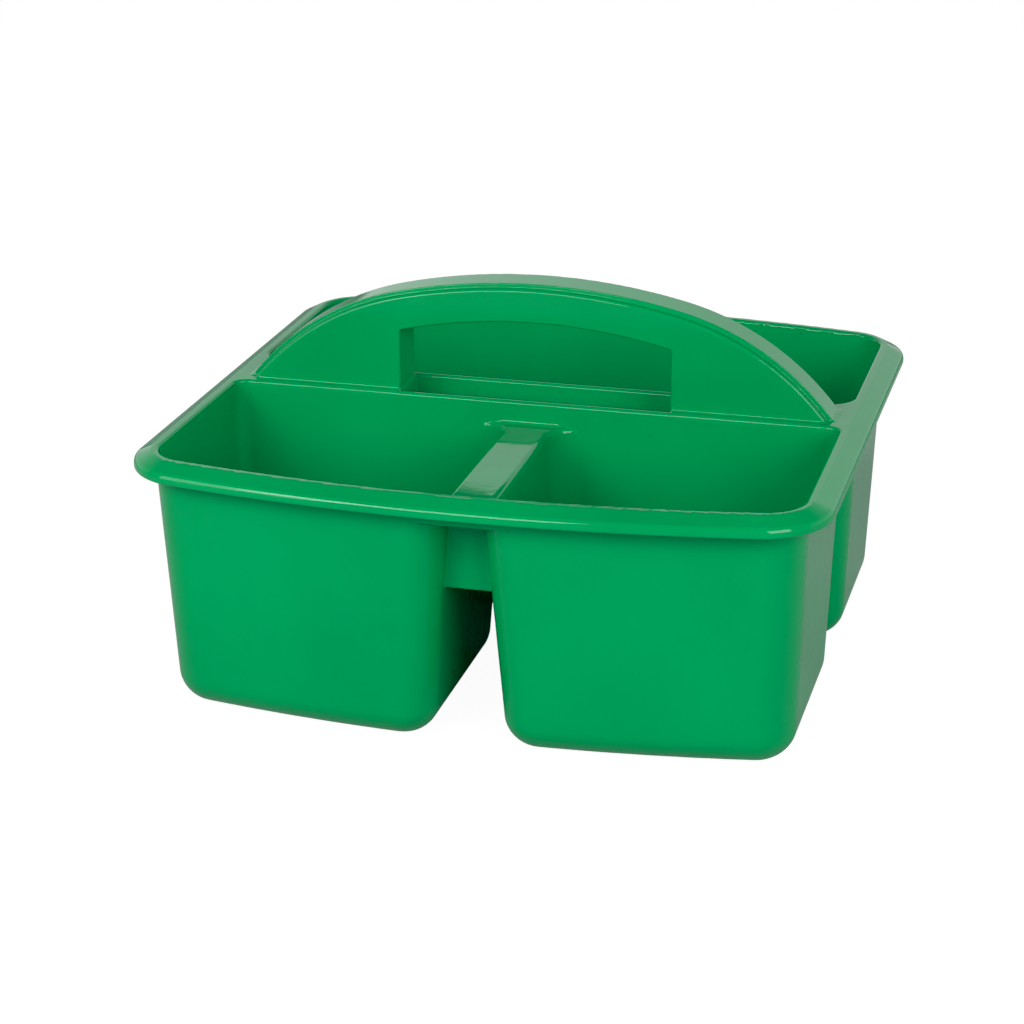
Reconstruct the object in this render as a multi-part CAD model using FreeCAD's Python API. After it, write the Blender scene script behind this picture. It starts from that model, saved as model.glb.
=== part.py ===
import FreeCAD, Part
import math
import os
from FreeCAD import Vector

# Cleaning caddy: one polypropylene moulding with two small bins in front, one wide bin
# behind, a rolled rim round all three and an arched carrying handle between them.
# Millimetres.  X runs along the handle, -Y is the front, +Z is up, and the origin is
# the centre of the base.  Each region of the moulding is its own closed solid.

# ---- driving dimensions -------------------------------------------------------------
WIDTH = 235.0                # over the rim, left to right
DEPTH = 235.0                # over the rim, front to back, at the middle
BOW = 13.1                   # how far the front and back bulge past their corners
RIM_TOP = 92.2               # height of the rim above the base
CROWN_RISE = 41.0            # top of the handle above the rim

WALL = 1.5                   # wall, floor and web thickness
LIP_HEIGHT = 6.1             # outside height of the rolled rim
RIM_SLOPE = 6.3              # width of the rim's sloping face, seen from above
RIM_DROP = 3.0               # how far that face falls towards the rim's outer edge
RIM_CORNER = 20.0            # plan radius of the rim's corners
WELL_EDGE_ROUND = 1.2        # rounding of the top edge round each well

DECK_Z = 84.2                # level where the bins join the rim and the bridge lies
SIDE_INSET = 7.9             # rim's outer edge to a bin's outer side face, at DECK_Z
FRONT_INSET = 8.4            # the same at the front and back
GAP_HALF = 6.5               # half of the gap between the front bins, at DECK_Z
CHANNEL_HALF = 11.2          # half of the channel under the handle, at DECK_Z
SIDE_DRAFT = 0.034           # how much each wall leans in per millimetre of depth
FRONT_DRAFT = 0.085
GAP_DRAFT = 0.069
CHANNEL_DRAFT = 0.050
BIN_CORNER = 12.0            # outside plan radius of a bin's corners
TIGHT_CORNER = 6.0           # the same where a front bin meets the handle and the rim
BIN_FOOT = 10.5              # outside radius between a bin's walls and its floor

HANDLE_HALF = 9.0            # half of the handle's thickness, over its two panels
CROWN_HALF = 6.5             # half of the width of the raised strip on the crown
CROWN_STEP = 1.6             # height of the raised strip above its shoulders
CROWN_BEVEL = 0.7            # bevel along the crown's long edges
ARCH_RADIUS = 219.6          # crown radius over the middle of the arch
ARCH_TURN = 13.35            # degrees that the middle radius covers, each side
SHOULDER_RADIUS = 96.9       # smaller crown radius towards the handle's feet
GRIP_HALF = 48.4             # half length of the grip opening
GRIP_SIDE_HEIGHT = 21.4      # height of the grip opening at its ends
GRIP_RADIUS = 198.0          # radius of the grip opening's top
GRIP_EDGE_ROUND = 0.9        # rounding of the grip opening's edges

BRIDGE_THICK = 3.0           # strip that joins the front bins
BRIDGE_ROUND = 1.5
WEB_DROP = 39.0              # rim top to the lower edge of a web
WEB_SETBACK = 17.0           # a bin's outer face to the web between two bins

# ---- derived dimensions -------------------------------------------------------------
HALF_W = WIDTH / 2
HALF_D = DEPTH / 2
BOW_RADIUS = (HALF_W ** 2 + BOW ** 2) / (2 * BOW)
LIP_Z = RIM_TOP - LIP_HEIGHT
WEB_Z = RIM_TOP - WEB_DROP
PAST = 30.0                  # overshoot of cutting tools


def bow_y(x, inset):
    """Half depth at x of an outline that lies inset from the rim's front edge."""
    sink = BOW_RADIUS - math.sqrt(BOW_RADIUS ** 2 - x ** 2)
    return HALF_D - inset - sink


def bowed_edge(x_start, x_end, inset, side, z):
    """Bowed front (side -1) or back (side +1) edge from one x to another."""
    xs = (x_start, (x_start + x_end) / 2, x_end)
    points = [Vector(x, side * bow_y(x, inset), z) for x in xs]
    return Part.Arc(*points).toShape()


def full_outline(side_inset, front_inset, z):
    """Outline with both bowed ends, inset from the rim's outer edge."""
    half_x = HALF_W - side_inset
    corner_y = bow_y(half_x, front_inset)
    front = bowed_edge(-half_x, half_x, front_inset, -1, z)
    right = Part.makeLine(Vector(half_x, -corner_y, z), Vector(half_x, corner_y, z))
    back = bowed_edge(half_x, -half_x, front_inset, 1, z)
    left = Part.makeLine(Vector(-half_x, corner_y, z), Vector(-half_x, -corner_y, z))
    return Part.Wire([front, right, back, left])


def bay_outline(x_low, x_high, near_y, front_inset, side, z):
    """Outline with one bowed end: from near_y beside the handle out to the rim."""
    bowed = bowed_edge(x_low, x_high, front_inset, side, z)
    far_low = side * bow_y(x_low, front_inset)
    far_high = side * bow_y(x_high, front_inset)
    high = Part.makeLine(Vector(x_high, far_high, z), Vector(x_high, side * near_y, z))
    near = Part.makeLine(Vector(x_high, side * near_y, z), Vector(x_low, side * near_y, z))
    low = Part.makeLine(Vector(x_low, side * near_y, z), Vector(x_low, far_low, z))
    return Part.Wire([bowed, high, near, low])


def mirrored(shape, across=Vector(1, 0, 0)):
    return shape.mirror(Vector(0, 0, 0), across)


def keep_largest(shape):
    return max(shape.Solids, key=lambda solid: solid.Volume)


def slab(x_low, x_high, y_low, y_high, z_low, z_high):
    size = (x_high - x_low, y_high - y_low, z_high - z_low)
    return Part.makeBox(*size, Vector(x_low, y_low, z_low))


def chosen_edges(solid, wanted):
    """The edges that satisfy wanted(lowest z, highest z, bounding box)."""
    boxes = [(edge, edge.BoundBox) for edge in solid.Edges]
    return [edge for edge, box in boxes if wanted(box.ZMin, box.ZMax, box)]


def round_edges(solid, radius, wanted):
    edges = chosen_edges(solid, wanted)
    return solid.makeFillet(radius, edges) if edges else solid


def is_upright(low, high, box):
    return high - low > 1.0


def is_tight_corner(low, high, box):
    """Upright corner of a front bin where the handle meets the rim."""
    near_rim = min(abs(box.XMin), abs(box.XMax)) > HALF_W * 0.7
    near_handle = -HALF_D * 0.3 < box.YMin < 0
    return is_upright(low, high, box) and near_rim and near_handle


def is_wide_corner(low, high, box):
    return is_upright(low, high, box) and not is_tight_corner(low, high, box)


def prism(side_inset, front_inset, z_low, z_high, corner):
    """Upright block with both bowed ends and rounded corners."""
    face = Part.Face(full_outline(side_inset, front_inset, z_low))
    return round_edges(face.extrude(Vector(0, 0, z_high - z_low)), corner, is_upright)


def bay_at(full_width, side, depth, offset, z):
    """Outline of a bin's walls, depth millimetres below DECK_Z.

    offset moves every wall inwards: 0 is the outer face and WALL the inner face.
    The full width is the rear bin's, and otherwise the front left bin's."""
    x_low = SIDE_INSET + SIDE_DRAFT * depth + offset - HALF_W
    x_high = -x_low if full_width else -(GAP_HALF + GAP_DRAFT * depth + offset)
    near_y = CHANNEL_HALF + CHANNEL_DRAFT * depth + offset
    return bay_outline(x_low, x_high, near_y, FRONT_INSET + FRONT_DRAFT * depth + offset, side, z)


def bin_block(full_width, side, z_low, offset):
    """Drafted block of a bin: its outer shape, or its cavity when offset is WALL."""
    low = bay_at(full_width, side, DECK_Z - z_low, offset, z_low)
    high = bay_at(full_width, side, 0.0, offset, DECK_Z)
    block = Part.makeLoft([low, high], True, True)
    block = round_edges(block, BIN_CORNER - offset, is_wide_corner)
    block = round_edges(block, BIN_FOOT - offset, lambda a, b, box: b < z_low + 0.01)
    return round_edges(block, TIGHT_CORNER - offset, is_tight_corner)


def well(side):
    """Opening inside the rim over the front pair of bins or over the rear bin."""
    low = bay_at(True, side, 0.0, WALL, DECK_Z)
    high = bay_at(True, side, DECK_Z - RIM_TOP, WALL, RIM_TOP)
    block = Part.makeLoft([low, high], True, True)
    block = round_edges(block, BIN_CORNER - WALL, is_wide_corner)
    return round_edges(block, TIGHT_CORNER - WALL, is_tight_corner)


def make_bridge(left_cavity):
    """Level strip between the front bins, below the rim."""
    outline = bay_at(True, -1, 0.0, WALL, DECK_Z - BRIDGE_THICK)
    plate = Part.Face(outline).extrude(Vector(0, 0, BRIDGE_THICK))
    reach = GAP_HALF + BIN_CORNER + WALL
    plate = plate.common(slab(-reach, reach, -HALF_D, 0, 0, RIM_TOP))
    return keep_largest(plate.cut(left_cavity).cut(mirrored(left_cavity)))


def is_bridge_edge(low, high, box):
    """Top edges of the bridge that run along the two bins."""
    return low > DECK_Z - 0.01 and box.YLength > 2.0


def rim_block(inset, z_low):
    """Block under the rim's top and sloping face, its faces moved inwards by inset."""
    block = prism(inset, inset, z_low, RIM_TOP - inset, RIM_CORNER - inset)
    slope = math.atan2(RIM_DROP, RIM_SLOPE)
    shift = 1 / math.cos(slope) - 1
    drop = RIM_DROP + inset * (shift - math.tan(slope))
    width = RIM_SLOPE + inset * (shift / math.tan(slope) - 1)
    top = chosen_edges(block, lambda low, high, box: low > RIM_TOP - inset - 0.01)
    return block.makeChamfer(drop, width, top)


def under_rim_groove():
    """Open groove below the rim, between its lip and the bins' walls."""
    outer = rim_block(WALL, 0.0)
    return outer.cut(prism(SIDE_INSET, FRONT_INSET, 0.0, RIM_TOP, BIN_CORNER))


def make_deck():
    """Rim and handle base in one: everything above DECK_Z except the handle."""
    block = rim_block(0.0, DECK_Z).cut(well(-1)).cut(well(1))
    block = round_edges(block, WELL_EDGE_ROUND, is_well_edge)
    below_lip = prism(-PAST, -PAST, 0.0, LIP_Z, RIM_CORNER)
    below_lip = below_lip.cut(prism(SIDE_INSET, FRONT_INSET, 0.0, LIP_Z, BIN_CORNER))
    return block.cut(below_lip).cut(under_rim_groove()).cut(handle_cavity())


def is_well_edge(low, high, box):
    """Edges of the two wells in the rim's top plane."""
    inside_x = max(abs(box.XMin), abs(box.XMax)) < HALF_W - RIM_SLOPE - 0.5
    return low > RIM_TOP - 0.01 and inside_x


def handle_cavity():
    """Space below the handle: the channel, the hollow legs and the slot below the grip."""
    reach = HALF_W - SIDE_INSET - WALL
    ledge = slab(-reach, reach, -CHANNEL_HALF, CHANNEL_HALF, 0, RIM_TOP - WALL)
    hollow = HANDLE_HALF - WALL
    leg_reach = arch_reach(CROWN_STEP + WALL)
    legs = slab(-leg_reach, leg_reach, -hollow, hollow, 0, RIM_TOP + PAST)
    frame_reach = GRIP_HALF + WALL
    frame = slab(-frame_reach, frame_reach, -PAST, PAST, 0, RIM_TOP + PAST)
    slot = slab(-GRIP_HALF, GRIP_HALF, -HANDLE_HALF, HANDLE_HALF, 0, RIM_TOP + PAST)
    return ledge.fuse(legs).cut(frame).fuse(slot)


def handle_zone():
    """Block that holds the handle base, between the two wells and under the whole handle."""
    reach = arch_reach(0.0) - 1.0
    half_y = CHANNEL_HALF + WALL + BIN_CORNER
    return slab(-reach, reach, -half_y, half_y, DECK_Z, RIM_TOP)


def arch_centres(drop):
    """Middle arc and shoulder arc of the crown, drop millimetres inside its top."""
    top = RIM_TOP + CROWN_RISE
    turn = math.radians(ARCH_TURN)
    middle_z = top - ARCH_RADIUS
    step = ARCH_RADIUS - SHOULDER_RADIUS
    shoulder_x = step * math.sin(turn)
    shoulder_z = middle_z + step * math.cos(turn)
    return middle_z, ARCH_RADIUS - drop, shoulder_x, shoulder_z, SHOULDER_RADIUS - drop


def arch_reach(drop, z=RIM_TOP):
    """Half length of the arch at height z."""
    _, _, shoulder_x, shoulder_z, radius = arch_centres(drop)
    return shoulder_x + math.sqrt(radius ** 2 - (z - shoulder_z) ** 2)


def arch_point(drop, x):
    """Point of the crown curve at x."""
    middle_z, middle_r, shoulder_x, shoulder_z, shoulder_r = arch_centres(drop)
    if abs(x) <= middle_r * math.sin(math.radians(ARCH_TURN)):
        return Vector(x, 0, middle_z + math.sqrt(middle_r ** 2 - x ** 2))
    along = abs(x) - shoulder_x
    return Vector(x, 0, shoulder_z + math.sqrt(max(shoulder_r ** 2 - along ** 2, 0.0)))


def arch_block(drop, half_y, base_z=RIM_TOP):
    """Solid under the crown curve, from base_z up."""
    reach = arch_reach(drop, base_z)
    join = arch_centres(drop)[1] * math.sin(math.radians(ARCH_TURN))
    ends = [-reach, -join, join, reach]
    edges = []
    for start, end in zip(ends, ends[1:]):
        middle = (start + end) / 2
        edges.append(Part.Arc(*[arch_point(drop, x) for x in (start, middle, end)]).toShape())
    edges.append(Part.makeLine(Vector(reach, 0, base_z), Vector(-reach, 0, base_z)))
    face = Part.Face(Part.Wire(edges))
    face.translate(Vector(0, -half_y, 0))
    return face.extrude(Vector(0, 2 * half_y, 0))


def grip_block(half_y):
    """Solid of the grip opening, from the rim's level up."""
    side_z = RIM_TOP + GRIP_SIDE_HEIGHT
    middle_z = side_z + GRIP_RADIUS - math.sqrt(GRIP_RADIUS ** 2 - GRIP_HALF ** 2)
    corners = [Vector(-GRIP_HALF, 0, side_z), Vector(-GRIP_HALF, 0, RIM_TOP)]
    corners += [Vector(GRIP_HALF, 0, RIM_TOP), Vector(GRIP_HALF, 0, side_z)]
    edges = [Part.makeLine(a, b) for a, b in zip(corners, corners[1:])]
    edges.append(Part.Arc(corners[3], Vector(0, 0, middle_z), corners[0]).toShape())
    face = Part.Face(Part.Wire(edges))
    face.translate(Vector(0, -half_y, 0))
    return face.extrude(Vector(0, 2 * half_y, 0))


def make_front_panel():
    """Flat front face of the handle, round the grip opening."""
    panel = arch_block(CROWN_STEP + WALL, HANDLE_HALF)
    front = slab(-HALF_W, HALF_W, -HANDLE_HALF, WALL - HANDLE_HALF, RIM_TOP, RIM_TOP * 2)
    panel = panel.common(front).cut(grip_block(HANDLE_HALF + PAST))
    return keep_largest(round_edges(panel, GRIP_EDGE_ROUND, is_grip_edge))


def is_grip_edge(low, high, box):
    """Front edges of the grip opening, at its two ends and its top."""
    in_plane = box.YMax < 0.01 - HANDLE_HALF
    inside = max(abs(box.XMin), abs(box.XMax)) < GRIP_HALF + 0.1
    return in_plane and inside and high > RIM_TOP + 1.0


def make_crown():
    """Curved top of the handle: a raised strip between two narrow shoulders."""
    start_z = RIM_TOP - LIP_HEIGHT
    inside = arch_block(CROWN_STEP, CROWN_HALF + PAST, start_z)
    strip = arch_block(0.0, CROWN_HALF, start_z).cut(inside)
    inside = arch_block(CROWN_STEP + WALL, HANDLE_HALF + PAST, start_z)
    shoulder = arch_block(CROWN_STEP, HANDLE_HALF, start_z).cut(inside)
    crown = strip.fuse(shoulder).removeSplitter()
    crown = crown.makeChamfer(CROWN_BEVEL, chosen_edges(crown, is_crown_edge))
    return keep_largest(crown.common(slab(-WIDTH, WIDTH, -PAST, PAST, RIM_TOP, RIM_TOP * 2)))


def is_crown_edge(low, high, box):
    """Long upper edges of the crown's raised strip and of its shoulders."""
    if box.YLength > 0.01 or box.XLength < 5.0:
        return False
    drop = 0.0 if abs(abs(box.YMin) - CROWN_HALF) < 0.01 else CROWN_STEP
    near_x = min(abs(box.XMin), abs(box.XMax)) if box.XMin * box.XMax > 0 else 0.0
    return abs(high - arch_point(drop, near_x).z) < 0.05


def make_left_end():
    """Wall between the two panels at the left end of the grip opening."""
    half_y = HANDLE_HALF - WALL
    inside = arch_block(CROWN_STEP + WALL, half_y)
    end = slab(-GRIP_HALF - WALL, -GRIP_HALF, -half_y, half_y, RIM_TOP, RIM_TOP * 2)
    return keep_largest(inside.common(end))


def make_front_web(left_block):
    """Plate that closes the gap between the front bins below the bridge."""
    y = WEB_SETBACK - bow_y(0.0, FRONT_INSET)
    plate = slab(-GAP_HALF * 2, GAP_HALF * 2, y, y + WALL, WEB_Z, DECK_Z - BRIDGE_THICK)
    return keep_largest(plate.cut(left_block).cut(mirrored(left_block)))


def make_left_web(left_block, rear_block):
    """Plate that closes one end of the channel under the handle."""
    x = SIDE_INSET + WEB_SETBACK - HALF_W
    plate = slab(x, x + WALL, -CHANNEL_HALF * 2, CHANNEL_HALF * 2, WEB_Z, DECK_Z)
    return keep_largest(plate.cut(left_block).cut(rear_block))


def build_nodes():
    left_block = bin_block(False, -1, 0.0, 0.0)
    left_cavity = bin_block(False, -1, WALL, WALL)
    rear_block = bin_block(True, 1, 0.0, 0.0)
    bridge = make_bridge(left_cavity)
    left_bin = keep_largest(left_block.cut(left_cavity).cut(bridge))
    deck = make_deck()
    zone = handle_zone()
    panel = make_front_panel()
    left_end = make_left_end()
    left_web = make_left_web(left_block, rear_block)
    return {
        "front_left_bin": left_bin,
        "front_right_bin": mirrored(left_bin),
        "rear_bin": keep_largest(rear_block.cut(bin_block(True, 1, WALL, WALL))),
        "bridge": keep_largest(round_edges(bridge, BRIDGE_ROUND, is_bridge_edge)),
        "rim": keep_largest(deck.cut(zone)),
        "handle_base": keep_largest(deck.common(zone)),
        "handle_front_panel": panel,
        "handle_rear_panel": mirrored(panel, Vector(0, 1, 0)),
        "handle_crown": make_crown(),
        "grip_left_end": left_end,
        "grip_right_end": mirrored(left_end),
        "front_web": make_front_web(left_block),
        "left_web": left_web,
        "right_web": mirrored(left_web),
    }


os.makedirs("parts", exist_ok=True)
for name, shape in build_nodes().items():
    shape.exportStep(os.path.join("parts", name + ".step"))
    print(name, shape.ShapeType, shape.isValid(), round(shape.Volume), "mm3")
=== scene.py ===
import math
from concurrent.futures import ThreadPoolExecutor

import bpy
import numpy as np
import openvdb
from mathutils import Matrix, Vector


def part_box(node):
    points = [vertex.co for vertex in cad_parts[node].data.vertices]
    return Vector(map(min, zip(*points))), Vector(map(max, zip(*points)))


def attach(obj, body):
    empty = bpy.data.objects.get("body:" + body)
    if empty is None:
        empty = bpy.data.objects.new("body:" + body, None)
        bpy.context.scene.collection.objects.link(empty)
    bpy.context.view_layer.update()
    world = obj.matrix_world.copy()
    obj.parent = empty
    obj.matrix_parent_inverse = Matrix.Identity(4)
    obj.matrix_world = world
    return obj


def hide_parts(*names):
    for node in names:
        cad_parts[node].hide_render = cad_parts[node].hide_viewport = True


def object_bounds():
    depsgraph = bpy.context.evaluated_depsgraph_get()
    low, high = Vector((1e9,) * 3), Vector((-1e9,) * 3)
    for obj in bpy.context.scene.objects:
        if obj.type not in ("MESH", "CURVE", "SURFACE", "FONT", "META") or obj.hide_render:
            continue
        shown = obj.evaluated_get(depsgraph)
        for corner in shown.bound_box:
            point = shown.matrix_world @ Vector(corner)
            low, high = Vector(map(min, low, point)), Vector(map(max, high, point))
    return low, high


# The caddy is one moulding, so its surface is made as one field: a function that is negative
# inside the plastic and zero on its surface.  Fillets are part of the field.  The surface is
# meshed, drawn exactly on to the field, and divided into one piece for each CAD node.
# The field works in millimetres, in the CAD frame; the meshes are in metres.

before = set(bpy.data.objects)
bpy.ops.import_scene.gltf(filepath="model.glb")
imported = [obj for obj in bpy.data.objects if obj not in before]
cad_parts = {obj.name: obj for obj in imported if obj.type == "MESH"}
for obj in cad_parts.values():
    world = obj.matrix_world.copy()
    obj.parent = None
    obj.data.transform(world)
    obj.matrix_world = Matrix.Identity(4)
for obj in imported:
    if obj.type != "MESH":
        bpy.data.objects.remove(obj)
cad_low, cad_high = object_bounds()

# ---- sizes read from the frame --------------------------------------------------------
MM = 1000.0
HALF_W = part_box("rim")[1].x * MM
HALF_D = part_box("rim")[1].y * MM
RIM_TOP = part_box("rim")[1].z * MM
DECK_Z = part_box("rim")[0].z * MM
CROWN_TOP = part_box("handle_crown")[1].z * MM
HANDLE_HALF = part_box("handle_crown")[1].y * MM
CHANNEL_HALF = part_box("rear_bin")[0].y * MM
SIDE_INSET = HALF_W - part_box("rear_bin")[1].x * MM
FRONT_INSET = HALF_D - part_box("rear_bin")[1].y * MM
WEB_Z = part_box("front_web")[0].z * MM
FRONT_WEB_Y = (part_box("front_web")[0].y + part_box("front_web")[1].y) / 2 * MM
SIDE_WEB_X = (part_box("right_web")[0].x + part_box("right_web")[1].x) / 2 * MM

# ---- the moulding's other dimensions, as in the CAD source -----------------------------
WALL = 1.5
BOW = 13.1
BOW_RADIUS = (HALF_W ** 2 + BOW ** 2) / (2 * BOW)
RIM_CORNER = 20.0
LIP_HEIGHT = 6.1
LIP_TOE_ROUND = 0.7
RIM_SLOPE = 6.3
RIM_DROP = 3.0
RIM_EDGE_ROUND = 1.3
WELL_EDGE_ROUND = 1.2
GAP_HALF = 6.5
SIDE_DRAFT = 0.034
FRONT_DRAFT = 0.085
GAP_DRAFT = 0.069
CHANNEL_DRAFT = 0.050
BIN_CORNER = 12.0
TIGHT_CORNER = 6.0
BIN_FOOT = 10.5
BRIDGE_THICK = 3.0
BRIDGE_ROUND = 1.5
BRIDGE_FILLET = 1.4
CROWN_HALF = 6.5
CROWN_STEP = 1.6
CROWN_ROUND = 0.35
CROWN_FILLET = 0.35
SHOULDER_ROUND = 1.1
ARCH_RADIUS = 219.6
ARCH_TURN = math.radians(13.35)
SHOULDER_RADIUS = 96.9
GRIP_HALF = 48.4
GRIP_SIDE_HEIGHT = 21.4
GRIP_RADIUS = 198.0
GRIP_EDGE_ROUND = 0.9
GRIP_CORNER_ROUND = 0.6
GRIP_OPEN_BELOW = 20
WEB_EDGE_ROUND = 0.5
HANDLE_FILLET = 0.8
UNDER_FILLET = 1.0
BIN_SINK = 0.6 * WALL       # the bins stop, and the handle starts, inside the deck
HANDLE_SINK = 0.7 * WALL
SLOT_HALF = 9.7
SLOT_ROUND = 0.7
SLOT_LEDGE_ROUND = 1.5
SLOT_LEDGE_HEIGHT = 1.5
HOLLOW_ROUND = 0.4
END_OVERLAP = 0.8

# ---- look ------------------------------------------------------------------------------
DEEP_GREEN = (0.0, 0.300, 0.080, 1)
LIGHT_GREEN = (0.0, 0.345, 0.094, 1)
SPECK_GREEN = (0.0, 0.16, 0.04, 1)
SCUFF_GREEN = (0.10, 0.50, 0.22, 1)
FOOT_WEAR_TOP = 0.004
LIGHT_AIM = (0, 0, 0.06)
FLOOR_REACH = 12.0
FLOOR_FRONT = 0.50
FLOOR_BEHIND = 0.65
FLOOR_WHITE = 0.85
FLOOR_GLOW = 1.13
ROOM_FRONT = 0.06
ROOM_BEHIND = 0.95
RED_BLACK_LEVEL = 0.014
LIGHT_DISTANCE = 2.1
LIGHTS = [  # name, azimuth and elevation in degrees, size in metres, power in watts
    ("left", -44, 24, (1.2, 1.2), 15),
    ("right", 46, 24, (1.2, 1.2), 25),
    ("rim_line", -22, 32, (1.1, 0.7), 17),
]

# ---- camera: angles in radians, distances in metres, lens in millimetres --------------
CAMERA_YAW = 0.25966
CAMERA_PITCH = 0.35706
CAMERA_ROLL = -0.00207
CAMERA_DISTANCE = 0.98019
CAMERA_AIM = (-0.01027, 0.0, 0.04616)
CAMERA_LENS = 95.91
SENSOR_WIDTH = 36

# ---- mesh quality ---------------------------------------------------------------------
VOXEL = 0.45
BLOCK = 8
ADAPTIVITY = 0.02
BLOCK_REACH = 1.15
FIELD_LIMIT = 4.0
SLOPE_STEP = 0.02
BLOCKS_AT_ONCE = 128
POINTS_AT_ONCE = 40000

# ---- where one node's skin ends and the next one's starts ------------------------------
FACE_SLACK = 0.01
WEB_SLACK = 0.1
BRIDGE_SLACK = 0.2
WEB_REACH = 1.6
BASE_PAST_CORNER = 6


def length(a, b):
    return np.sqrt(a * a + b * b)


def joined(a, b, radius):
    """Union of two fields, with a concave fillet where they meet."""
    reach = length(np.maximum(radius - a, 0), np.maximum(radius - b, 0))
    return np.maximum(radius, np.minimum(a, b)) - reach


def trimmed(a, b, radius):
    """Intersection of two fields, with a rounded edge where they meet."""
    reach = length(np.maximum(radius + a, 0), np.maximum(radius + b, 0))
    return np.minimum(-radius, np.maximum(a, b)) + reach


def bowed(x, out, inset):
    """Distance outside the bulged front or back face; out is measured towards that face."""
    return length(x, out - (HALF_D - inset - BOW_RADIUS)) - BOW_RADIUS


def bay_plan(x, out, z, divided, corner_near):
    """Walls of a bin seen from above; divided stops it at the gap between the front bins."""
    depth = DECK_Z - z
    across = np.abs(x) - (HALF_W - SIDE_INSET - SIDE_DRAFT * depth)
    if divided:
        across = np.maximum(across, GAP_HALF + GAP_DRAFT * depth - np.abs(x))
    near = CHANNEL_HALF + CHANNEL_DRAFT * depth - out
    along = np.maximum(near, bowed(x, out, FRONT_INSET + FRONT_DRAFT * depth))
    at_handle = (np.abs(x) > HALF_W / 2) & (out < HALF_D / 2)
    radius = np.where(at_handle, corner_near, BIN_CORNER)
    return trimmed(across, along, radius)


def near_gap(x, radius):
    """A fillet radius that fades out beside the gap between the front bins."""
    start, end = GAP_HALF + BIN_CORNER * 0.3, GAP_HALF + BIN_CORNER * 0.5
    return radius * np.clip((end - np.abs(x)) / (end - start), 0, 1)


def outside_bins(x, y, z):
    """Field of everything except the hollows of the bins and the wells above them."""
    rear = bay_plan(x, y, z, False, BIN_CORNER) + WALL
    rear_hollow = trimmed(rear, WALL - z, BIN_FOOT - WALL)
    front = bay_plan(x, -y, z, True, TIGHT_CORNER) + WALL
    front_hollow = trimmed(front, WALL - z, BIN_FOOT - WALL)
    under_bridge = trimmed(-front_hollow, z - DECK_Z, BRIDGE_ROUND)
    well_walls = -(bay_plan(x, -y, z, False, TIGHT_CORNER) + WALL)
    front_solid = joined(under_bridge, well_walls, near_gap(x, BRIDGE_FILLET))
    return np.maximum(front_solid, -rear_hollow)


def bin_blocks(x, y, z):
    """Outer shape of the bins, without their hollows."""
    rear = trimmed(bay_plan(x, y, z, False, BIN_CORNER), -z, BIN_FOOT)
    front = trimmed(bay_plan(x, -y, z, True, TIGHT_CORNER), -z, BIN_FOOT)
    over_gap = np.maximum(bay_plan(x, -y, z, False, TIGHT_CORNER), DECK_Z - BRIDGE_THICK - z)
    front = joined(front, over_gap, near_gap(x, UNDER_FILLET))
    return np.minimum(front, rear)


def deck(x, y, z):
    """Top sheet of the moulding and the lip that hangs from its edge."""
    plan = trimmed(np.abs(x) - HALF_W, bowed(x, np.abs(y), 0.0), RIM_CORNER)
    slope = math.atan2(RIM_DROP, RIM_SLOPE)
    sloping = (z - RIM_TOP) * math.cos(slope) + (plan + RIM_SLOPE) * math.sin(slope)
    outer = trimmed(plan, np.maximum(sloping, z - RIM_TOP), RIM_EDGE_ROUND)
    sheet = np.maximum(outer, -WALL - outer)
    return trimmed(sheet, RIM_TOP - LIP_HEIGHT - z, LIP_TOE_ROUND)


def arch(x, z):
    """Distance outside the crown curve, an arch of one middle arc and two shoulder arcs."""
    middle_z = CROWN_TOP - ARCH_RADIUS
    step = ARCH_RADIUS - SHOULDER_RADIUS
    shoulder_x = step * math.sin(ARCH_TURN)
    shoulder_z = middle_z + step * math.cos(ARCH_TURN)
    in_middle = np.abs(x) < (z - middle_z) * math.tan(ARCH_TURN)
    middle = length(x, z - middle_z) - ARCH_RADIUS
    shoulder = length(np.abs(x) - shoulder_x, z - shoulder_z) - SHOULDER_RADIUS
    return np.where(in_middle, middle, shoulder)


def grip(x, z):
    """The grip opening seen from the front, open downwards."""
    centre_z = RIM_TOP + GRIP_SIDE_HEIGHT - math.sqrt(GRIP_RADIUS ** 2 - GRIP_HALF ** 2)
    top = length(x, z - centre_z) - GRIP_RADIUS
    below = z - RIM_TOP - GRIP_OPEN_BELOW
    return trimmed(np.abs(x) - GRIP_HALF, np.where(z > RIM_TOP, top, below), GRIP_CORNER_ROUND)


def handle(x, y, z):
    """Outer shape of the handle, with its opening."""
    over = arch(x, z)
    strip = trimmed(over, np.abs(y) - CROWN_HALF, CROWN_ROUND)
    shoulder = trimmed(over + CROWN_STEP, np.abs(y) - HANDLE_HALF, SHOULDER_ROUND)
    outer = joined(strip, shoulder, CROWN_FILLET)
    outer = trimmed(outer, -grip(x, z), GRIP_EDGE_ROUND)
    return np.maximum(outer, RIM_TOP - HANDLE_SINK - z)


def handle_hollow(x, y, z):
    """Space inside the handle, open to the channel below it."""
    over = arch(x, z) + CROWN_STEP + WALL
    between = np.abs(y) - HANDLE_HALF + WALL
    end_middle = GRIP_HALF + WALL / 2 - END_OVERLAP / 2
    outside_ends = WALL / 2 + END_OVERLAP / 2 - np.abs(np.abs(x) - end_middle)
    below = RIM_TOP - LIP_HEIGHT - z
    return np.maximum(np.maximum(over, between), np.maximum(outside_ends, below))


def slot_frame(x, y, z):
    """Rails and ends of the slot below the grip, inside the channel."""
    rails = np.maximum(np.abs(x) - GRIP_HALF - WALL, np.abs(y) - CHANNEL_HALF - WALL / 2)
    return trimmed(np.maximum(rails, z - RIM_TOP + WALL / 2), DECK_Z - z, SLOT_ROUND)


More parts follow.
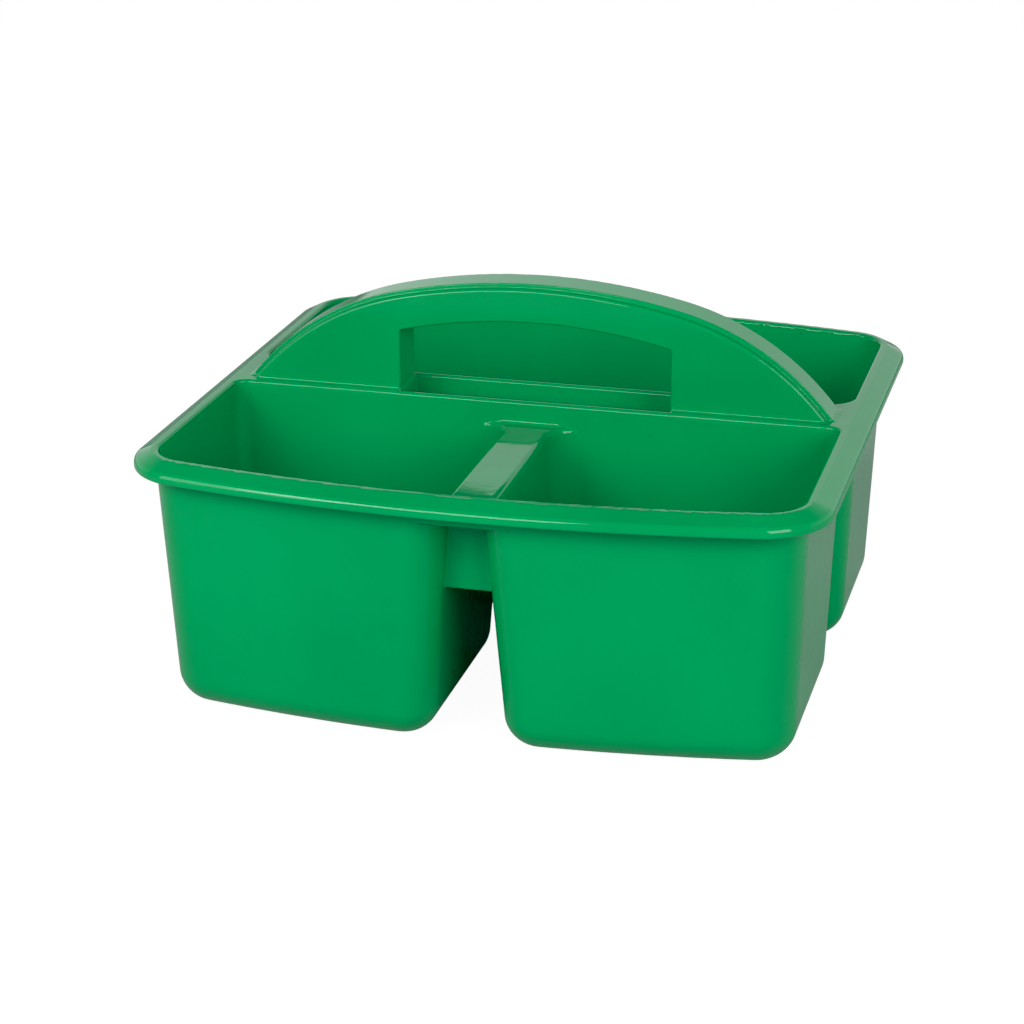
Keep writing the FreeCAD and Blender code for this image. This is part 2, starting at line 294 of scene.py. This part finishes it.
def webs(x, y, z):
    """Plates across the gap between the front bins and across the ends of the channel."""
    front = np.maximum(np.abs(y - FRONT_WEB_Y) - WALL / 2, np.abs(x) - GAP_HALF * 2)
    front = np.maximum(front, z - DECK_Z + BRIDGE_THICK / 2)
    side = np.maximum(np.abs(np.abs(x) - SIDE_WEB_X) - WALL / 2, np.abs(y) - CHANNEL_HALF * 2)
    side = np.maximum(side, z - DECK_Z)
    return trimmed(np.minimum(front, side), WEB_Z - z, WEB_EDGE_ROUND)


def caddy(x, y, z):
    """The whole moulding."""
    body = np.maximum(bin_blocks(x, y, z), z - RIM_TOP + BIN_SINK)
    body = joined(body, deck(x, y, z), UNDER_FILLET)
    body = joined(body, webs(x, y, z), HANDLE_FILLET)
    body = joined(body, slot_frame(x, y, z), UNDER_FILLET)
    body = joined(body, handle(x, y, z), HANDLE_FILLET)
    body = trimmed(body, -handle_hollow(x, y, z), HOLLOW_ROUND)
    on_ledge = np.clip((RIM_TOP + SLOT_LEDGE_HEIGHT - z) / SLOT_LEDGE_HEIGHT, 0, 1)
    slot_round = SLOT_ROUND + (SLOT_LEDGE_ROUND - SLOT_ROUND) * on_ledge
    body = trimmed(body, -np.maximum(grip(x, z), np.abs(y) - SLOT_HALF), slot_round)
    return trimmed(body, outside_bins(x, y, z), WELL_EDGE_ROUND)


def in_parallel(function, rows, size):
    """Result of function on rows, worked out in chunks of about size rows."""
    chunks = np.array_split(rows, max(len(rows) // size, 1))
    with ThreadPoolExecutor(4) as pool:
        return np.concatenate(list(pool.map(function, chunks)))


def value_and_slope(points):
    """Field value and gradient at each point."""
    step = SLOPE_STEP
    x, y, z = points.T
    return np.stack([
        caddy(x, y, z),
        (caddy(x + step, y, z) - caddy(x - step, y, z)) / (2 * step),
        (caddy(x, y + step, z) - caddy(x, y - step, z)) / (2 * step),
        (caddy(x, y, z + step) - caddy(x, y, z - step)) / (2 * step),
    ], axis=1)


def lattice(axes):
    return np.stack(np.meshgrid(*axes, indexing="ij"), axis=-1).reshape(-1, len(axes))


def surface_blocks():
    """Low corners, in voxels, of the blocks that the surface may pass through."""
    size = BLOCK * VOXEL
    low = np.floor(np.array(cad_low) * MM / size - 1)
    high = np.ceil(np.array(cad_high) * MM / size + 1)
    cells = lattice([np.arange(a, b) for a, b in zip(low, high)])
    distance = np.abs(caddy(*((cells + 0.5) * size).T))
    return (cells[distance < size * BLOCK_REACH] * BLOCK).astype(int)


def meshed():
    """Vertices, triangles and quads of the surface."""
    offsets = lattice([np.arange(BLOCK)] * 3)

    def values_in(corners):
        points = (corners[:, None] + offsets).reshape(-1, 3).astype(np.float32) * VOXEL
        values = caddy(*points.T.copy()).astype(np.float32)
        return np.clip(values, -FIELD_LIMIT, FIELD_LIMIT).reshape(-1, BLOCK, BLOCK, BLOCK)

    grid = openvdb.FloatGrid(FIELD_LIMIT)
    corners = surface_blocks()
    for corner, values in zip(corners, in_parallel(values_in, corners, BLOCKS_AT_ONCE)):
        grid.copyFromArray(values, ijk=corner.tolist())
    points, triangles, quads = grid.convertToPolygons(0.0, ADAPTIVITY)
    return points.astype(float) * VOXEL, triangles, quads


def drawn_on_surface(points):
    """The points moved on to the field's zero surface, and the unit normals there."""
    for _ in range(2):
        rows = in_parallel(value_and_slope, points, POINTS_AT_ONCE)
        steepness = np.maximum((rows[:, 1:] ** 2).sum(axis=1), 0.25)
        points = points - (rows[:, 0] / steepness)[:, None] * rows[:, 1:]
    normals = in_parallel(value_and_slope, points, POINTS_AT_ONCE)[:, 1:]
    return points, normals / np.linalg.norm(normals, axis=1)[:, None]


def node_at(points):
    """Name of the CAD node that each point of the surface belongs to."""
    x, y, z = points.T
    half_x = np.abs(x)
    depth = DECK_Z - z
    on_crown = arch(x, z) + CROWN_STEP + WALL > 0
    between = (z > RIM_TOP) & (np.abs(y) < HANDLE_HALF - WALL + FACE_SLACK)
    on_end = between & (np.abs(half_x - GRIP_HALF - WALL / 2) < WALL)
    on_panel = (z > RIM_TOP) & (np.abs(y) < HANDLE_HALF + FACE_SLACK)
    in_front_gap = half_x < GAP_HALF + GAP_DRAFT * depth
    in_channel = np.abs(y) < CHANNEL_HALF + CHANNEL_DRAFT * depth
    on_base = half_x < HALF_W - RIM_CORNER + BASE_PAST_CORNER
    on_base = on_base & (np.abs(y) < CHANNEL_HALF + WALL + BIN_CORNER)
    by_web = z > WEB_Z - WEB_SLACK
    near_bridge = (y < 0) & (half_x < GAP_HALF + BIN_CORNER + WALL)
    cases = [
        ("handle_crown", (z > RIM_TOP) & on_crown),
        ("grip_left_end", on_end & (x < 0)),
        ("grip_right_end", on_end & (x > 0)),
        ("handle_front_panel", on_panel & (y < 0)),
        ("handle_rear_panel", on_panel & (y > 0)),
        ("handle_base", (z > DECK_Z) & on_base),
        ("rim", z > DECK_Z),
        ("bridge", (z > DECK_Z - BRIDGE_THICK - BRIDGE_SLACK) & near_bridge),
        ("front_web", (np.abs(y - FRONT_WEB_Y) < WEB_REACH) & in_front_gap & by_web),
        ("left_web", (np.abs(x + SIDE_WEB_X) < WEB_REACH) & in_channel & by_web),
        ("right_web", (np.abs(x - SIDE_WEB_X) < WEB_REACH) & in_channel & by_web),
        ("rear_bin", y > 0),
        ("front_left_bin", x < 0),
        ("front_right_bin", x >= 0),
    ]
    names = np.array([name for name, _ in cases])
    return names[np.argmax([inside for _, inside in cases], axis=0)]


def mesh_of(name, points, normals, faces):
    """Mesh of the given faces alone, in metres, shaded with the field's own normals."""
    corners = np.concatenate([face.ravel() for face in faces])
    used, renumbered = np.unique(corners, return_inverse=True)
    sizes = [face.size for face in faces]
    parts = np.split(renumbered.ravel(), np.cumsum(sizes)[:-1])
    rows = [row for part, face in zip(parts, faces) for row in part.reshape(face.shape).tolist()]
    mesh = bpy.data.meshes.new(name)
    mesh.from_pydata((points[used] / MM).tolist(), [], rows)
    mesh.validate()
    mesh.shade_smooth()
    mesh.normals_split_custom_set_from_vertices(normals[used].tolist())
    return mesh


def moulding(material):
    """One piece for each CAD node, cut from the one continuous surface."""
    points, triangles, quads = meshed()
    points, normals = drawn_on_surface(points)
    groups = [np.asarray(triangles, int), np.asarray(quads, int)]
    labels = [node_at(points[group].mean(axis=1)) for group in groups]
    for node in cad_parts:
        faces = [group[label == node] for group, label in zip(groups, labels)]
        mesh = mesh_of(node + "_skin", points, normals, faces)
        mesh.materials.append(material)
        piece = bpy.data.objects.new(node + "_skin", mesh)
        bpy.context.scene.collection.objects.link(piece)
        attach(piece, "root")
        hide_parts(node)


# ---- material --------------------------------------------------------------------------
class Nodes:
    """Short ways to add the shader nodes that the materials use."""

    def __init__(self, owner):
        owner.use_nodes = True
        self.tree = owner.node_tree
        self.place = self.tree.nodes.new("ShaderNodeTexCoord").outputs

    def add(self, kind, links, **settings):
        """A node with inputs linked, or set when the value isn't a socket."""
        node = self.tree.nodes.new("ShaderNode" + kind)
        for name, value in settings.items():
            setattr(node, name, value)
        for name, value in links.items():
            if isinstance(value, bpy.types.NodeSocket):
                self.tree.links.new(value, node.inputs[name])
            else:
                node.inputs[name].default_value = value
        return node

    def noise(self, scale, detail=2.0, stretch=(1, 1, 1)):
        """Clouds with features of 1 / scale metres, longer where stretch is under 1."""
        place = self.add("Mapping", {"Vector": self.place["Object"], "Scale": stretch}).outputs[0]
        links = {"Vector": place, "Scale": scale, "Detail": detail}
        return self.add("TexNoise", links).outputs["Fac"]

    def ramp(self, value, start, end, low=0.0, high=1.0):
        links = {"Value": value, "From Min": start, "From Max": end, "To Min": low, "To Max": high}
        return self.add("MapRange", links).outputs["Result"]

    def math(self, operation, first, second):
        return self.add("Math", {0: first, 1: second}, operation=operation).outputs[0]

    def tinted(self, factor, first, second):
        node = self.add("Mix", {0: factor, 6: first, 7: second}, data_type="RGBA")
        return node.outputs[2]

    def bump(self, height, depth, normal=None):
        """Bump of the given depth in metres, on top of another bump's normal."""
        links = {"Height": height, "Distance": depth, "Strength": 1.0}
        if normal:
            links["Normal"] = normal
        return self.add("Bump", links).outputs["Normal"]


def green_plastic():
    """Glossy polypropylene: clouded colour, flow lines, specks, and scuffs where it rubs."""
    material = bpy.data.materials.new("green_polypropylene")
    nodes = Nodes(material)
    height = nodes.add("SeparateXYZ", {"Vector": nodes.place["Object"]}).outputs["Z"]
    clouds = nodes.noise(16.0, 3.0)
    flow = nodes.noise(90.0, 2.0, (1, 1, 0.12))
    peel = nodes.noise(420.0)
    grain = nodes.noise(3200.0)
    scratches = nodes.ramp(nodes.noise(230.0, 4.0, (0.09, 1, 2.4)), 0.66, 0.72)
    rubbed = nodes.ramp(height, FOOT_WEAR_TOP, 0.0)
    scuffs = nodes.math("MULTIPLY", nodes.ramp(nodes.noise(700.0, 4.0), 0.5, 0.62), rubbed)
    cells = nodes.add("TexVoronoi", {"Vector": nodes.place["Object"], "Scale": 55.0})
    specks = nodes.ramp(cells.outputs["Distance"], 0.035, 0.02)

    colour = nodes.tinted(nodes.ramp(clouds, 0.3, 0.7), DEEP_GREEN, LIGHT_GREEN)
    colour = nodes.tinted(nodes.ramp(flow, 0.3, 0.7, 0.0, 0.25), colour, DEEP_GREEN)
    colour = nodes.tinted(nodes.math("MULTIPLY", specks, 0.35), colour, SPECK_GREEN)
    colour = nodes.tinted(nodes.math("MULTIPLY", scuffs, 0.35), colour, SCUFF_GREEN)
    rough = nodes.ramp(flow, 0.3, 0.7, 0.045, 0.075)
    rough = nodes.math("ADD", rough, nodes.ramp(clouds, 0.3, 0.7, 0.0, 0.03))
    rough = nodes.math("ADD", rough, nodes.math("MULTIPLY", scratches, 0.06))
    rough = nodes.math("ADD", rough, nodes.math("MULTIPLY", scuffs, 0.25))
    normal = nodes.bump(peel, 0.00002)
    normal = nodes.bump(flow, 0.00006, normal)
    normal = nodes.bump(grain, 0.000002, normal)
    normal = nodes.bump(scuffs, -0.00002, normal)

    shader = nodes.tree.nodes["Principled BSDF"]
    shader.inputs["IOR"].default_value = 1.40
    nodes.tree.links.new(colour, shader.inputs["Base Color"])
    nodes.tree.links.new(rough, shader.inputs["Roughness"])
    nodes.tree.links.new(normal, shader.inputs["Normal"])
    return material


# ---- stage -----------------------------------------------------------------------------
def soft_box(name, azimuth, elevation, size, power):
    """Area light aimed at the caddy; azimuth is measured from the front, left is negative."""
    light = bpy.data.lights.new(name, "AREA")
    light.shape = "RECTANGLE"
    light.size, light.size_y = size
    light.energy = power
    turn, tilt = math.radians(azimuth), math.radians(elevation)
    level = math.cos(tilt)
    towards = Vector((math.sin(turn) * level, -math.cos(turn) * level, math.sin(tilt)))
    lamp = bpy.data.objects.new(name, light)
    lamp.location = Vector(LIGHT_AIM) + towards * LIGHT_DISTANCE
    lamp.rotation_euler = towards.to_track_quat("Z", "Y").to_euler()
    bpy.context.scene.collection.objects.link(lamp)


def stage_floor():
    """Floor that is white to the camera, with a faint shadow, and darker to the caddy."""
    material = bpy.data.materials.new("pale_floor")
    nodes = Nodes(material)
    shader = nodes.tree.nodes["Principled BSDF"]
    place = nodes.add("SeparateXYZ", {"Vector": nodes.place["Object"]}).outputs
    tone = nodes.ramp(place["Y"], -0.10, -0.02, FLOOR_FRONT, FLOOR_BEHIND)
    nodes.tree.links.new(tone, shader.inputs["Base Color"])
    shader.inputs["Roughness"].default_value = 0.9
    white = nodes.add("Emission", {"Color": (1, 1, 1, 1), "Strength": FLOOR_GLOW}).outputs[0]
    camera = nodes.add("LightPath", {}).outputs["Is Camera Ray"]
    share = nodes.math("MULTIPLY", camera, FLOOR_WHITE)
    mixed = nodes.add("MixShader", {0: share, 1: shader.outputs[0], 2: white}).outputs[0]
    nodes.tree.links.new(mixed, nodes.tree.nodes["Material Output"].inputs["Surface"])
    mesh = bpy.data.meshes.new("floor")
    corners = [(-FLOOR_REACH, -FLOOR_REACH, 0), (FLOOR_REACH, -FLOOR_REACH, 0)]
    corners += [(FLOOR_REACH, FLOOR_REACH, 0), (-FLOOR_REACH, FLOOR_REACH, 0)]
    mesh.from_pydata(corners, [], [(0, 1, 2, 3)])
    mesh.materials.append(material)
    floor = bpy.data.objects.new("floor", mesh)
    bpy.context.scene.collection.objects.link(floor)


def surroundings():
    """White surroundings, bright low down behind the caddy and dim elsewhere."""
    world = bpy.data.worlds.new("surroundings")
    bpy.context.scene.world = world
    nodes = Nodes(world)
    way = nodes.add("SeparateXYZ", {"Vector": nodes.place["Generated"]}).outputs
    behind = nodes.ramp(way["Y"], -0.2, 0.3)
    low_down = nodes.ramp(way["Z"], 0.75, 0.35)
    share = nodes.math("MULTIPLY", behind, low_down)
    shader = nodes.tree.nodes["Background"]
    shader.inputs["Color"].default_value = (1, 1, 1, 1)
    strength = nodes.ramp(share, 0.0, 1.0, ROOM_FRONT, ROOM_BEHIND)
    nodes.tree.links.new(strength, shader.inputs["Strength"])


def main_camera():
    """Camera that looks from the front, a little right and above."""
    back = Vector((math.sin(CAMERA_YAW) * math.cos(CAMERA_PITCH),
                   -math.cos(CAMERA_YAW) * math.cos(CAMERA_PITCH), math.sin(CAMERA_PITCH)))
    data = bpy.data.cameras.new("camera")
    data.lens = CAMERA_LENS
    data.sensor_width = SENSOR_WIDTH
    camera = bpy.data.objects.new("camera", data)
    camera.location = Vector(CAMERA_AIM) + back * CAMERA_DISTANCE
    camera.rotation_euler = back.to_track_quat("Z", "Y").to_euler()
    camera.rotation_euler.rotate_axis("Z", CAMERA_ROLL)
    bpy.context.scene.collection.objects.link(camera)
    bpy.context.scene.camera = camera


def picture_tones():
    """Plain tones, with the red channel's small black level."""
    view = bpy.context.scene.view_settings
    view.view_transform = "Standard"
    view.use_curve_mapping = True
    view.curve_mapping.black_level = (RED_BLACK_LEVEL, 0, 0)
    view.curve_mapping.update()


moulding(green_plastic())
stage_floor()
surroundings()
for light in LIGHTS:
    soft_box(*light)
main_camera()
picture_tones()
